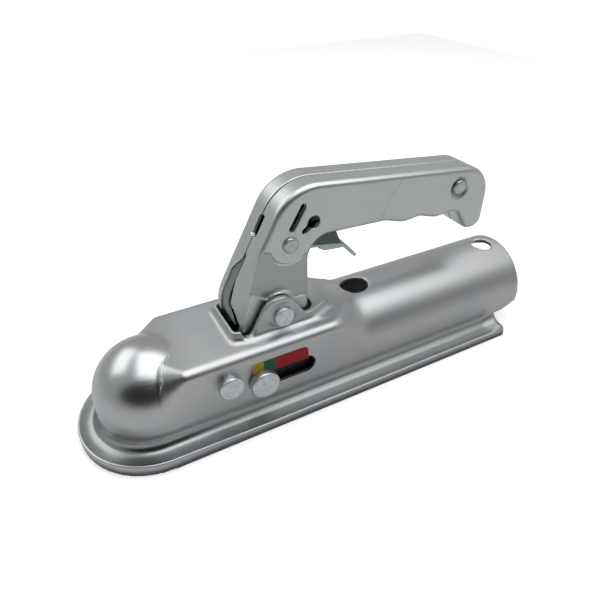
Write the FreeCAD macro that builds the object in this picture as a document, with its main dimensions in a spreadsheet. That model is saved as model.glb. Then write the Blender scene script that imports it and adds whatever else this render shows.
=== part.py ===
import FreeCAD, Part
import math
import os

import Sketcher
from FreeCAD import Placement, Rotation, Vector

# Trailer coupling head for a 50 mm ball and a 50 mm round drawbar.
# Frame: origin at the ball centre, +X along the drawbar, +Z up, -Y is the side with the indicator.
# All sizes are millimetres.

DRIVING_SIZES = {
    # ball, drawbar and sheet
    "ball_radius": 25.0,
    "ball_gap": 0.3,
    "drawbar_radius": 25.0,
    "drawbar_gap": 0.3,
    "sheet_wall": 3.2,
    # housing, long section
    "tube_drop": 3.27,
    "roof_height": 24.5,
    "shoulder_inner": 1.8,
    "box_end": 98.0,
    "tube_start": 124.0,
    "tube_end": 240.5,
    "flange_end": 221.8,
    "flange_reach": 40.0,
    "rim_depth": 22.55,
    "ledge_depth": 15.5,
    "ledge_round": 7.0,
    "rim_inner": 0.6,
    "dome_blend": 14.0,
    # neck, lip and ears round the handle opening
    "neck_front": 42.0,
    "neck_rear": 119.0,
    "neck_flare": 4.2,
    "neck_front_flare": 0.3,
    "neck_rear_narrow": 3.2,
    "neck_rise": 5.1,
    "lip_lean": 2.4,
    "opening_front": 46.1,
    "opening_rear": 93.0,
    "ear_top": 44.4,
    "ear_left": 64.5,
    "ear_right": 76.8,
    "ear_foot": 91.5,
    "notch_left": 50.3,
    "notch_right": 54.0,
    "notch_floor": 25.7,
    "boss_radius": 7.2,
    "boss_rise": 0.8,
    # drawbar bolts
    "rear_bolt_x": 228.1,
    "bolt_spacing": 100.4,
    "rear_bolt_radius": 6.5,
    "front_bolt_radius": 7.5,
    "front_bolt_slot": 2.0,
    # pins
    "pivot_x": 72.0,
    "pivot_z": 33.6,
    "pivot_radius": 4.0,
    "pivot_head_radius": 5.6,
    "pivot_head_rise": 2.6,
    "running_gap": 0.05,
    "jaw_pin_x": 35.7,
    "jaw_pin_z": 10.0,
    "jaw_pin_radius": 4.0,
    "jaw_head_radius": 6.8,
    "head_rise": 4.8,
    "lock_x": 54.0,
    "lock_z": 4.3,
    "lock_radius": 4.5,
    "lock_head_radius": 8.0,
    "lock_travel": 26.0,
    "slot_gap": 0.2,
    "washer_wall": 1.5,
    # handle, outline corners
    "handle_half": 12.5,
    "handle_wall": 2.5,
    "side_washer": 1.4,
    "seam_gap": 0.1,
    "edge_round": 3.0,
    "nose_radius": 25.4,
    "nose_x": 44.2,
    "nose_z": 35.8,
    "brow_x": 80.4,
    "brow_z": 101.5,
    "brow_round": 26.0,
    "tail_x": 210.0,
    "tail_z": 87.2,
    "tail_round": 20.0,
    "hook_z": 48.8,
    "hook_width": 11.0,
    "hook_root_x": 189.5,
    "hook_root_z": 62.0,
    "grip_front_x": 123.0,
    "grip_front_z": 69.5,
    "grip_fall": 0.117,
    "grip_wave": 1.25,
    "grip_round": 12.0,
    "arm_rear_x": 90.7,
    "arm_rear_top": 71.3,
    "arm_rear_low": 28.0,
    "arm_waist_x": 67.5,
    "arm_waist_z": 10.2,
    "toe_x": 56.5,
    "toe_z": -7.7,
    "toe_front_x": 41.7,
    "toe_front_z": 1.5,
    "toe_round": 8.6,
    "beak_x": 51.2,
    "beak_z": 16.9,
    # handle, pressed and punched shapes
    "bevel_side_x": 64.6,
    "bevel_side_z": 71.2,
    "bevel_turn": 26.9,
    "bevel_lift": 15.8,
    "recess_depth": 0.9,
    "recess_low": 38.2,
    "recess_low_front": 48.3,
    "recess_high": 63.6,
    "rivet_land": 10.6,
    "pivot_land": 10.6,
    "flange_step_z": 65.3,
    "flange_step": 1.8,
    "flange_corner_z": 39.5,
    "flange_toe_z": 29.0,
    "window_bend_z": 54.0,
    "window_half": 7.3,
    "seam_slot_low": 76.9,
    "seam_slot_high": 81.8,
    "seam_slot_half": 2.6,
    "keyhole_x": 93.3,
    "keyhole_z": 80.1,
    "keyhole_radius": 3.4,
    "slit_radius": 1.5,
    "dimple_radius": 5.2,
    "dimple_depth": 1.2,
    "lift_slot_near": 29.1,
    "lift_slot_far": 34.6,
    "lift_slot_turn": 32.43,
    "lift_slot_radius": 5.3,
    "rivet_radius": 3.0,
    "rivet_head_radius": 4.3,
    "rivet_head_rise": 1.5,
    "front_rivet_x": 79.9,
    "front_rivet_z": 70.8,
    "rear_rivet_x": 187.4,
    "rear_rivet_z": 78.3,
    "spacer_radius": 6.0,
    "sleeve_radius": 6.5,
    # jaw, block and springs
    "jaw_gap": 0.1,
    "jaw_wall": 5.5,
    "jaw_low": 38.0,
    "jaw_high": 15.0,
    "jaw_spread": 70.0,
    "jaw_boss_radius": 7.4,
    "jaw_half": 8.5,
    "block_half": 9.4,
    "block_front": 31.9,
    "block_rear": 62.0,
    "block_low": -10.0,
    "block_step": 2.2,
    "block_round": 7.0,
    "spring_wire": 1.3,
    "spring_mean": 6.6,
    "spring_turns": 5.0,
    "seat_x": 104.0,
    "seat_wall": 3.0,
    "guide_radius": 4.8,
    "guide_length": 15.5,
    "small_wire": 0.6,
    # slot covers, indicator and trigger
    "cover_wall": 1.5,
    "cover_gap": 0.4,
    "cover_front": 45.0,
    "cover_rear": 85.2,
    "cover_margin": 0.8,
    "strip_wall": 0.5,
    "strip_front": 48.8,
    "strip_rear": 81.2,
    "strip_top": 16.8,
    "trigger_half": 7.5,
    "trigger_wall": 2.0,
}

doc = FreeCAD.newDocument("coupling_head")
sheet = doc.addObject("Spreadsheet::Sheet", "Sizes")
for row, (alias, number) in enumerate(DRIVING_SIZES.items(), start=1):
    sheet.set(f"A{row}", alias)
    sheet.set(f"B{row}", str(number))
    sheet.setAlias(f"B{row}", alias)
doc.recompute()


class Size:
    # A length with the formula it comes from, so that features can be bound to it.
    def __init__(self, value, text):
        self.value = float(value)
        self.text = text

    def __add__(self, other):
        other = as_size(other)
        return Size(self.value + other.value, f"({self.text} + {other.text})")

    def __sub__(self, other):
        other = as_size(other)
        return Size(self.value - other.value, f"({self.text} - {other.text})")

    def __mul__(self, other):
        other = as_size(other)
        return Size(self.value * other.value, f"({self.text} * {other.text})")

    def __truediv__(self, other):
        other = as_size(other)
        return Size(self.value / other.value, f"({self.text} / {other.text})")

    def __neg__(self):
        return Size(-self.value, f"(0 - {self.text})")

    def __radd__(self, other):
        return as_size(other) + self

    def __rsub__(self, other):
        return as_size(other) - self

    def __rmul__(self, other):
        return as_size(other) * self


def as_size(number):
    if isinstance(number, Size):
        return number
    value = round(float(number), 6)
    return Size(value, f"({value})")


class Sheet:
    # Reads each driving size from its cell.
    def __getattr__(self, alias):
        return Size(float(sheet.get(alias)), f"Sizes.{alias}")


s = Sheet()


def bind(item, prop, size):
    item.setExpression(prop, as_size(size).text)


def add_outline(sketch, corners):
    # A closed outline from corner points; a third value rounds the corner.
    spots = [(as_size(c[0]), as_size(c[1]), as_size(c[2]) if len(c) > 2 else None) for c in corners]
    count = len(spots)
    points = [Vector(x.value, y.value, 0) for x, y, _ in spots]
    starts = []
    ends = []
    arcs = []
    for i, (_, _, radius) in enumerate(spots):
        back = (points[i - 1] - points[i]).normalize()
        ahead = (points[(i + 1) % count] - points[i]).normalize()
        if radius is None:
            starts.append(points[i])
            ends.append(points[i])
            arcs.append(None)
            continue
        half = back.getAngle(ahead) / 2
        reach = radius.value / math.tan(half)
        into = points[i] + back * reach
        out = points[i] + ahead * reach
        centre = points[i] + (back + ahead).normalize() * (radius.value / math.sin(half))
        left_turn = back.cross(ahead).z < 0
        first, last = (into, out) if left_turn else (out, into)
        angle_first = math.atan2(first.y - centre.y, first.x - centre.x)
        angle_last = math.atan2(last.y - centre.y, last.x - centre.x)
        circle = Part.Circle(centre, Vector(0, 0, 1), radius.value)
        arcs.append((Part.ArcOfCircle(circle, angle_first, angle_last), left_turn))
        starts.append(out)
        ends.append(into)
    lines = []
    for i in range(count):
        lines.append(sketch.addGeometry(Part.LineSegment(starts[i], ends[(i + 1) % count])))
    for i, (x, y, radius) in enumerate(spots):
        before = lines[i - 1]
        after = lines[i]
        if radius is None:
            sketch.addConstraint(Sketcher.Constraint("Coincident", before, 2, after, 1))
            place_point(sketch, after, 1, x, y)
            continue
        arc, left_turn = arcs[i]
        arc_id = sketch.addGeometry(arc)
        near, far = (1, 2) if left_turn else (2, 1)
        sketch.addConstraint(Sketcher.Constraint("Tangent", before, 2, arc_id, near))
        sketch.addConstraint(Sketcher.Constraint("Tangent", arc_id, far, after, 1))
        measure(sketch, Sketcher.Constraint("Radius", arc_id, radius.value), radius)
        corner = sketch.addGeometry(Part.Point(points[i]), True)
        sketch.addConstraint(Sketcher.Constraint("PointOnObject", corner, 1, before))
        sketch.addConstraint(Sketcher.Constraint("PointOnObject", corner, 1, after))
        place_point(sketch, corner, 1, x, y)


def measure(sketch, constraint, size):
    index = sketch.addConstraint(constraint)
    sketch.setExpression(f"Constraints[{index}]", size.text)


def place_point(sketch, geometry, end, x, y):
    measure(sketch, Sketcher.Constraint("DistanceX", geometry, end, x.value), x)
    measure(sketch, Sketcher.Constraint("DistanceY", geometry, end, y.value), y)


def add_circle(sketch, x, y, radius):
    x, y, radius = as_size(x), as_size(y), as_size(radius)
    circle = sketch.addGeometry(Part.Circle(Vector(x.value, y.value, 0), Vector(0, 0, 1), radius.value))
    place_point(sketch, circle, 3, x, y)
    measure(sketch, Sketcher.Constraint("Radius", circle, radius.value), radius)


def add_slot(sketch, first, second, radius):
    # An obround hole between two centres.
    one = [as_size(v) for v in first]
    two = [as_size(v) for v in second]
    radius = as_size(radius)
    p = Vector(one[0].value, one[1].value, 0)
    q = Vector(two[0].value, two[1].value, 0)
    along = (q - p).normalize()
    side = Vector(-along.y, along.x, 0) * radius.value
    turn = math.atan2(along.y, along.x)
    quarter = math.pi / 2
    up = Vector(0, 0, 1)
    end_arc = Part.ArcOfCircle(Part.Circle(q, up, radius.value), turn - quarter, turn + quarter)
    start_arc = Part.ArcOfCircle(Part.Circle(p, up, radius.value), turn + quarter, turn + 3 * quarter)
    lower = sketch.addGeometry(Part.LineSegment(p - side, q - side))
    right = sketch.addGeometry(end_arc)
    upper = sketch.addGeometry(Part.LineSegment(q + side, p + side))
    left = sketch.addGeometry(start_arc)
    for before, after in ((lower, right), (right, upper), (upper, left), (left, lower)):
        sketch.addConstraint(Sketcher.Constraint("Tangent", before, 2, after, 1))
    place_point(sketch, left, 3, *one)
    place_point(sketch, right, 3, *two)
    measure(sketch, Sketcher.Constraint("Radius", left, radius.value), radius)
    sketch.addConstraint(Sketcher.Constraint("Equal", left, right))


def new_sketch(body, name, role, offset):
    sketch = body.newObject("Sketcher::SketchObject", name)
    plane = next(f for f in body.Origin.OriginFeatures if f.Role == role)
    sketch.AttachmentSupport = [(plane, "")]
    sketch.MapMode = "FlatFace"
    sketch.AttachmentOffset = Placement(Vector(0, 0, as_size(offset).value), Rotation())
    bind(sketch, "AttachmentOffset.Base.z", offset)
    return sketch


def extrude(body, kind, name, role, low, high, draw):
    # A pad or pocket between two planes; on XZ_Plane low and high are Y values.
    low, high = as_size(low), as_size(high)
    middle = (low + high) / 2
    if role == "XZ_Plane":
        middle = -middle
    sketch = new_sketch(body, f"{name}_outline", role, middle)
    draw(sketch)
    feature = body.newObject(f"PartDesign::{kind}", name)
    feature.Profile = sketch
    feature.SideType = "Symmetric"
    bind(feature, "Length", high - low)
    body.Tip = feature
    return feature


def revolve(body, name, corners, angle=360.0, middle=False):
    # A solid of revolution about the body's own Z axis; corners are radius, height, rounding.
    sketch = new_sketch(body, f"{name}_outline", "XZ_Plane", 0)
    add_outline(sketch, corners)
    feature = body.newObject("PartDesign::Revolution", name)
    feature.Profile = sketch
    feature.ReferenceAxis = (sketch, ["V_Axis"])
    feature.Midplane = middle
    bind(feature, "Angle", angle)
    body.Tip = feature
    return feature


def ball(body, name, radius):
    feature = body.newObject("PartDesign::AdditiveSphere", name)
    bind(feature, "Radius", radius)
    body.Tip = feature
    return feature


def loft(body, name, role, sections):
    # A ruled loft through sections given as position and drawing function.
    sketches = []
    for index, (position, draw) in enumerate(sections):
        sketch = new_sketch(body, f"{name}_{index}", role, position)
        draw(sketch)
        sketches.append(sketch)
    feature = body.newObject("PartDesign::AdditiveLoft", name)
    feature.Profile = sketches[0]
    feature.Sections = sketches[1:]
    feature.Ruled = True
    body.Tip = feature
    return feature


def new_body(name):
    body = doc.addObject("PartDesign::Body", name)
    body.Label = name
    return body


def turned(name, corners, x, z):
    # A turned piece on an axis along Y; corner heights run towards the indicator side.
    body = new_body(name)
    revolve(body, f"{name}_turning", corners)
    body.Placement = Placement(Vector(0, 0, 0), Rotation(Vector(1, 0, 0), 90))
    bind(body, "Placement.Base.x", x)
    bind(body, "Placement.Base.z", z)
    return body


def combine(kind, name, base, tool):
    feature = doc.addObject(f"Part::{kind}", name)
    feature.Base = base
    feature.Tool = tool
    feature.Label = name
    return feature


parts = []
BLEND_STEPS = 9
# Share of the neck's height against share of its way from foot to crown
NECK_CURVE = ((0.0, 0.0), (0.16, 0.55), (0.41, 0.83), (1.0, 1.0))


def keep(item):
    parts.append(item)
    return item


# Sizes that follow from the driving ones
outer_radius = s.ball_radius + s.ball_gap + s.sheet_wall
tube_radius = s.drawbar_radius + s.drawbar_gap + s.sheet_wall
inner_half = outer_radius - s.sheet_wall
neck_top = s.roof_height + s.neck_rise
opening_half = s.handle_half + s.seam_gap + s.side_washer
ear_half = opening_half + s.sheet_wall
far_below = 60.0
far_out = 60.0


def mirror_corners(corners):
    # Adds the corners of the other side, in order, for an outline symmetric about the first axis.
    return corners + [(c[0], -as_size(c[1]), *c[2:]) for c in reversed(corners)]


def skirt_corners(inset, bottom):
    # One side of the flanged section, from the rim up to the wall.
    corners = [
        (s.flange_reach - inset, -bottom),
        (s.flange_reach - inset, -s.ledge_depth - inset, s.rim_inner + s.sheet_wall - inset),
        (outer_radius - inset, -s.ledge_depth - inset, s.ledge_round + inset),
    ]
    return corners


def box_section(inset, top, corner_radius):
    half = outer_radius - inset
    return lambda sketch: add_outline(sketch, [
        (-half, -s.tube_drop),
        (half, -s.tube_drop),
        (half, top - inset, corner_radius - inset),
        (-half, top - inset, corner_radius - inset),
    ])


def neck_sections(inset):
    # The raised neck round the handle opening, wide at its foot and upright at its crown.
    front_half = ear_half + s.neck_front_flare
    rear_half = ear_half - s.neck_rear_narrow
    foot_half = ear_half + s.neck_flare
    foot = [(s.neck_front, front_half, 4.0), (s.notch_left + 5.7, foot_half, 9.0),
            (s.opening_rear + 7.0, foot_half, 12.0), (s.neck_rear, rear_half, 10.0)]
    crown = [(s.neck_front + s.lip_lean, front_half - 2.7, 3.0), (s.notch_left, ear_half, 4.0),
             (s.opening_rear - 5.0, ear_half, 6.0), (s.neck_rear - 17.0, rear_half - 3.0, 5.0)]
    sections = []
    for height, share in NECK_CURVE:
        draw_in = inset * share
        corners = []
        for low, high, way in zip(foot, crown, (1.0, 1.0, 0.0, -1.0)):
            x = low[0] + (high[0] - low[0]) * share + draw_in * way
            half = low[1] + (high[1] - low[1]) * share - draw_in
            corners.append((x, -half, low[2] + (high[2] - low[2]) * share))
        sections.append((s.roof_height - inset + s.neck_rise * height,
                         lambda sketch, corners=corners: add_outline(sketch, mirror_corners(corners))))
    return sections


def housing_form(name, inset, bottom, past_end):
    # The housing's outside, or with an inset the space inside its wall.
    body = new_body(name)
    shoulder = s.shoulder_inner + s.sheet_wall
    section = [(x, z, *r) for x, z, *r in skirt_corners(inset, bottom)]
    wall_top = [(outer_radius - inset, -s.tube_drop)]
    right = section + wall_top
    left = [(-as_size(c[0]), *c[1:]) for c in reversed(right)]
    extrude(body, "Pad", f"{name}_box", "YZ_Plane", s.dome_blend, s.box_end,
            box_section(inset, s.roof_height, shoulder))
    loft(body, f"{name}_shoulder", "YZ_Plane", [
        (0.0, box_section(inset, s.roof_height, s.roof_height)),
        (s.dome_blend, box_section(inset, s.roof_height, shoulder)),
    ])
    extrude(body, "Pad", f"{name}_skirt", "YZ_Plane", 0, s.flange_end + past_end,
            lambda sketch: add_outline(sketch, right + left))
    revolve(body, f"{name}_nose", [(0, -bottom)] + section + [(outer_radius - inset, 0), (0, 0)])
    ball(body, f"{name}_dome", outer_radius - inset)
    extrude(body, "Pad", f"{name}_tube", "YZ_Plane", s.tube_start, s.tube_end + past_end,
            lambda sketch: add_circle(sketch, 0, -s.tube_drop, tube_radius - inset))
    blend_length = s.tube_start - s.box_end
    sections = []
    for step in range(BLEND_STEPS + 1):
        along = step / BLEND_STEPS
        share = along * along * (3.0 - 2.0 * along)
        top = s.roof_height + (tube_radius - s.tube_drop - s.roof_height) * share
        corner = shoulder + (tube_radius - 0.1 - shoulder) * share
        sections.append((s.box_end + blend_length * along, box_section(inset, top, corner)))
    loft(body, f"{name}_blend", "YZ_Plane", sections)
    loft(body, f"{name}_neck", "XY_Plane", neck_sections(inset))
    return body


def housing():
    outside = housing_form("housing_outside", as_size(0.0), s.rim_depth, as_size(0.0))
    ear = [(s.notch_left, s.roof_height), (s.notch_left, s.ear_top), (s.ear_right, s.ear_top, 9.0),
           (s.ear_foot, s.roof_height - 3.0)]
    extrude(outside, "Pad", "ears", "XZ_Plane", -ear_half, ear_half, lambda sketch: add_outline(sketch, ear))
    boss_half = ear_half + s.boss_rise
    extrude(outside, "Pad", "ear_bosses", "XZ_Plane", -boss_half, boss_half,
            lambda sketch: add_circle(sketch, s.pivot_x, s.pivot_z, s.boss_radius))
    inside = housing_form("housing_inside", s.sheet_wall, as_size(far_below), as_size(0.0))

    cuts = new_body("housing_openings")
    opening = [(s.opening_front, -opening_half, 2.0), (s.opening_rear, -opening_half, 5.0),
               (s.opening_rear, opening_half, 5.0), (s.opening_front, opening_half, 2.0)]
    extrude(cuts, "Pad", "handle_opening", "XY_Plane", s.roof_height - 9.0, s.ear_top + 9.0,
            lambda sketch: add_outline(sketch, opening))
    notch = [(s.opening_front + 1.4, s.ear_top + 4.0), (s.notch_left - 0.6, s.notch_floor, 2.2),
             (s.notch_right, s.notch_floor, 2.6), (s.ear_left, s.ear_top, 9.0),
             (s.ear_left + 12.0, s.ear_top), (s.ear_left + 12.0, s.ear_top + 4.0)]
    extrude(cuts, "Pad", "notch", "XZ_Plane", -far_out, far_out, lambda sketch: add_outline(sketch, notch))
    end_cut = [(s.flange_end, -far_below), (s.flange_end, -s.ledge_depth + 0.4),
               (s.flange_end + 9.0, -s.ledge_depth + 0.4, 2.0), (s.tube_end, -s.tube_drop - 4.7),
               (s.tube_end + 5.0, -s.tube_drop - 4.7), (s.tube_end + 5.0, -far_below)]
    extrude(cuts, "Pad", "end_cut", "XZ_Plane", -far_out, far_out,
            lambda sketch: add_outline(sketch, end_cut))
    inner_wall = tube_radius - s.sheet_wall
    extrude(cuts, "Pad", "tube_bore", "YZ_Plane", s.tube_start, s.tube_end + 5.0,
            lambda sketch: add_circle(sketch, 0, -s.tube_drop, inner_wall))
    slot_start = (s.lock_x - s.slot_gap, s.lock_z)
    slot_end = (s.lock_x + s.lock_travel + s.slot_gap, s.lock_z)
    extrude(cuts, "Pad", "lock_slots", "XZ_Plane", -far_out, far_out,
            lambda sketch: add_slot(sketch, slot_start, slot_end, s.lock_radius + s.slot_gap))
    extrude(cuts, "Pad", "jaw_pin_holes", "XZ_Plane", -far_out, far_out,
            lambda sketch: add_circle(sketch, s.jaw_pin_x, s.jaw_pin_z, s.jaw_pin_radius + s.running_gap))
    extrude(cuts, "Pad", "pivot_holes", "XZ_Plane", -far_out, far_out,
            lambda sketch: add_circle(sketch, s.pivot_x, s.pivot_z, s.pivot_radius + s.running_gap))
    front_bolt_x = s.rear_bolt_x - s.bolt_spacing
    extrude(cuts, "Pad", "rear_bolt_hole", "XY_Plane", 0, far_out,
            lambda sketch: add_circle(sketch, s.rear_bolt_x, 0, s.rear_bolt_radius))
    extrude(cuts, "Pad", "front_bolt_hole", "XY_Plane", 0, far_out,
            lambda sketch: add_slot(sketch, (front_bolt_x - s.front_bolt_slot / 2, 0),
                                    (front_bolt_x + s.front_bolt_slot / 2, 0), s.front_bolt_radius))
    shell = combine("Cut", "housing_shell", outside, inside)
    return keep(combine("Cut", "housing", shell, cuts))


def flat_sketch(name, y, draw):
    # A sketch in the long vertical plane at one Y, facing the indicator side.
    sketch = doc.addObject("Sketcher::SketchObject", name)
    sketch.Placement = Placement(Vector(0, 0, 0), Rotation(Vector(1, 0, 0), 90))
    bind(sketch, "Placement.Base.y", y)
    draw(sketch)
    return sketch


def thicken(name, profile, length):
    # Extrudes a flat profile towards the indicator side.
    feature = doc.addObject("Part::Extrusion", name)
    feature.Base = profile
    feature.DirMode = "Custom"
    feature.Dir = Vector(0, -1, 0)
    feature.Solid = True
    bind(feature, "LengthFwd", length)
    return feature


def block_beyond(name, point, normal):
    # A large block whose base lies on a slanted plane.
    block = doc.addObject("Part::Box", name)
    block.Length = block.Width = 2 * far_out
    block.Height = far_out
    turn = Rotation(Vector(0, 0, 1), normal)
    block.Placement = Placement(Vector(*point), turn) * Placement(Vector(-far_out, -far_out, 0), Rotation())
    return block


def round_cut(body, name, x, z, radius):
    # A round hole along Y through the whole body.
    extrude(body, "Pocket", name, "XZ_Plane", -far_out, far_out,
            lambda sketch: add_circle(sketch, x, z, radius))


def coil(name, mean, wire, length, turns):
    # A coil spring along its own Z axis from height zero.
    body = new_body(name)
    sketch = new_sketch(body, f"{name}_wire", "XZ_Plane", 0)
    add_circle(sketch, mean, wire, wire)
    feature = body.newObject("PartDesign::AdditiveHelix", f"{name}_helix")
    feature.Profile = sketch
    feature.ReferenceAxis = (sketch, ["V_Axis"])
    feature.Mode = "height-turns-angle"
    bind(feature, "Height", length - wire * 2)
    feature.Turns = turns
    body.Tip = feature
    return body


def handle_corners():
    # The side view of the lever, from the nose over the top and back along the grip.
    corners = [
        (s.nose_x, s.nose_z, s.nose_radius),
        (s.brow_x, s.brow_z, s.brow_round),
        (s.tail_x, s.tail_z, s.tail_round),
        (s.tail_x - 0.5, s.hook_z, 6.5),
        (s.tail_x - 0.5 - s.hook_width, s.hook_z, 5.0),
        (s.hook_root_x, s.hook_root_z, 4.0),
    ]
    for index, reach in enumerate((61.5, 50.5, 38.5, 27.5, 15.0)):
        side = 1.0 if index % 2 == 0 else -1.0
        low = s.grip_front_z - s.grip_fall * reach + s.grip_wave * side
        corners.append((s.grip_front_x + reach, low, s.grip_round))
    corners += [
        (s.arm_rear_x, s.arm_rear_top, s.grip_round),
        (s.arm_rear_x, s.arm_rear_low, 5.0),
        (s.arm_waist_x, s.arm_waist_z, 6.0),
        (s.toe_x, s.toe_z, s.toe_round),
        (s.toe_front_x, s.toe_front_z, s.toe_round),
        (s.beak_x, s.beak_z, 4.0),
    ]
    return corners


def lift_slot_point(reach):
    # A point of the slot that carries the lock pin, seen from the pivot.
    turn = math.radians(DRIVING_SIZES["lift_slot_turn"])
    return (s.pivot_x - reach * math.sin(turn), s.pivot_z - reach * math.cos(turn))


def front_x(z):
    # The lever's straight front edge at a height.
    return s.nose_x + (z - s.nose_z) * (s.brow_x - s.nose_x) / (s.brow_z - s.nose_z)


def half_shells():
    # The two pressed halves of the lever, both drawn on the indicator side.
    outline = flat_sketch("handle_outline", -s.seam_gap,
                          lambda sketch: add_outline(sketch, handle_corners()))
    solid = thicken("handle_solid", outline, s.handle_half - s.seam_gap)
    inset = doc.addObject("Part::Offset2D", "handle_inset")
    inset.Source = outline
    bind(inset, "Value", -s.handle_wall)
    hollow = thicken("handle_hollow", inset, s.handle_half - s.handle_wall - s.seam_gap)
    doc.recompute()
    rounded = doc.addObject("Part::Fillet", "handle_rounded")
    rounded.Base = solid
    outer_face = -DRIVING_SIZES["handle_half"]
    rounded.Edges = [(index, DRIVING_SIZES["edge_round"], DRIVING_SIZES["edge_round"])
                     for index, edge in enumerate(solid.Shape.Edges, start=1)
                     if edge.BoundBox.YMax < outer_face + 0.01]
    turn = math.radians(DRIVING_SIZES["bevel_turn"])
    lift = math.radians(DRIVING_SIZES["bevel_lift"])
    normal = Vector(-math.cos(turn) * math.cos(lift), -math.sin(turn) * math.cos(lift), math.sin(lift))
    start = Vector(DRIVING_SIZES["bevel_side_x"], outer_face, DRIVING_SIZES["bevel_side_z"])
    bevelled = combine("Cut", "handle_bevelled", rounded, block_beyond("bevel_block", start, normal))
    inner_start = start - normal * DRIVING_SIZES["handle_wall"]
    cavity = combine("Cut", "handle_cavity", hollow, block_beyond("inner_bevel_block", inner_start, normal))
    near_pressing = combine("Cut", "near_pressing", bevelled, cavity)
    far_pressing = combine("Cut", "far_pressing", rounded, hollow)

    cuts = new_body("handle_openings")
    inner = s.handle_half - s.handle_wall
    rim = [(30.0, -20.0), (118.0, -20.0), (118.0, 59.5), (113.0, 59.5), (113.0, 76.0), (80.0, 76.0),
           (80.0, 20.0), (30.0, 20.0)]
    extrude(cuts, "Pad", "rim_opening", "XZ_Plane", -inner, 1.0, lambda sketch: add_outline(sketch, rim))
    extrude(cuts, "Pad", "lift_slot", "XZ_Plane", -far_out, 1.0,
            lambda sketch: add_slot(sketch, lift_slot_point(s.lift_slot_near),
                                    lift_slot_point(s.lift_slot_far), s.lift_slot_radius))
    for name, x, z, radius in (
        ("pivot_bore", s.pivot_x, s.pivot_z, s.pivot_radius + s.running_gap),
        ("front_rivet_bore", s.front_rivet_x, s.front_rivet_z, s.rivet_radius),
        ("rear_rivet_bore", s.rear_rivet_x, s.rear_rivet_z, s.rivet_radius),
        ("keyhole", s.keyhole_x, s.keyhole_z, s.keyhole_radius),
    ):
        extrude(cuts, "Pad", name, "XZ_Plane", -far_out, 1.0,
                lambda sketch, x=x, z=z, radius=radius: add_circle(sketch, x, z, radius))
    extrude(cuts, "Pad", "keyhole_leg", "XZ_Plane", -far_out, 1.0,
            lambda sketch: add_slot(sketch, (s.keyhole_x, s.keyhole_z),
                                    (s.keyhole_x - 5.4, s.keyhole_z - 3.9), s.slit_radius * 0.9))
    extrude(cuts, "Pad", "slit", "XZ_Plane", -far_out, 1.0,
            lambda sketch: add_slot(sketch, (81.1, 79.0), (87.5, 89.7), s.slit_radius))
    extrude(cuts, "Pad", "seam_slot", "XZ_Plane", -s.seam_slot_half, 1.0,
            lambda sketch: add_slot(sketch, (front_x(s.seam_slot_low), s.seam_slot_low),
                                    (front_x(s.seam_slot_high), s.seam_slot_high), 3.2))

    panel = new_body("handle_panel")
    sheet_face = -s.handle_half
    panel_rear = s.arm_rear_x + 5.0
    field = [(s.bevel_side_x - 8.0, s.recess_low_front), (s.pivot_x, s.recess_low),
             (panel_rear, s.recess_low), (panel_rear, s.recess_high),
             (s.front_rivet_x + 4.0, s.recess_high), (s.bevel_side_x - 1.0, s.bevel_side_z)]
    extrude(panel, "Pad", "panel_field", "XZ_Plane", sheet_face - 1.0, sheet_face + s.recess_depth,
            lambda sketch: add_outline(sketch, field))
    round_cut(panel, "rivet_land_cut", s.front_rivet_x, s.front_rivet_z, s.rivet_land)
    round_cut(panel, "pivot_land_cut", s.pivot_x, s.pivot_z, s.pivot_land)
    dimple_floor = s.handle_half - s.dimple_depth
    dimple_mouth = s.handle_half + 0.1
    dimple = turned("rear_dimple", [
        (0, dimple_floor), (s.dimple_radius, dimple_floor),
        (s.dimple_radius + 2.0, dimple_mouth), (0, dimple_mouth)], s.rear_rivet_x, s.rear_rivet_z)
    halves = []
    for side, pressing in (("near", near_pressing), ("far", far_pressing)):
        opened = combine("Cut", f"{side}_opened", pressing, cuts)
        pressed = combine("Cut", f"{side}_pressed", opened, panel)
        halves.append(combine("Cut", f"{side}_half", pressed, dimple))
    return halves


def handle_shells():
    near_half, far_half = half_shells()
    inner = s.handle_half - s.handle_wall
    low = 20.0
    flange_front = s.nose_x - 4.0
    flange_rear = front_x(s.flange_step_z) + 4.0
    near_cuts = new_body("near_shell_cuts")
    edge = [(1.0, low), (1.0, s.flange_step_z + 0.6), (-s.flange_step, s.flange_step_z - 1.0),
            (-s.flange_step, s.flange_corner_z), (-inner, s.flange_toe_z), (-inner, low)]
    extrude(near_cuts, "Pad", "near_flange_edge", "YZ_Plane", flange_front, flange_rear,
            lambda sketch: add_outline(sketch, edge))
    keep(combine("Cut", "handle_near_shell", near_half, near_cuts))

    mirrored = doc.addObject("Part::Mirroring", "handle_far_mirrored")
    mirrored.Source = far_half
    mirrored.Normal = Vector(0, 1, 0)
    far_cuts = new_body("far_shell_cuts")
    window = [(-1.0, low), (-1.0, s.flange_step_z), (s.window_half, s.window_bend_z), (s.window_half, low)]
    extrude(far_cuts, "Pad", "far_flange_edge", "YZ_Plane", flange_front, flange_rear,
            lambda sketch: add_outline(sketch, window))
    keep(combine("Cut", "handle_far_shell", mirrored, far_cuts))


def riveted(name, x, z, shaft, head, half, rise, rounding):
    # A plain shaft with a round head at both ends, on an axis along Y.
    corners = [
        (0, -half - rise), (head, -half - rise, rounding), (head, -half), (shaft, -half),
        (shaft, half), (head, half), (head, half + rise, rounding), (0, half + rise),
    ]
    return keep(turned(name, corners, x, z))


def ring(name, x, z, inner, outer, low, high):
    # A plain ring on an axis along Y; low and high are distances towards the indicator side.
    return keep(turned(name, [(inner, low), (outer, low), (outer, high), (inner, high)], x, z))


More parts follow.
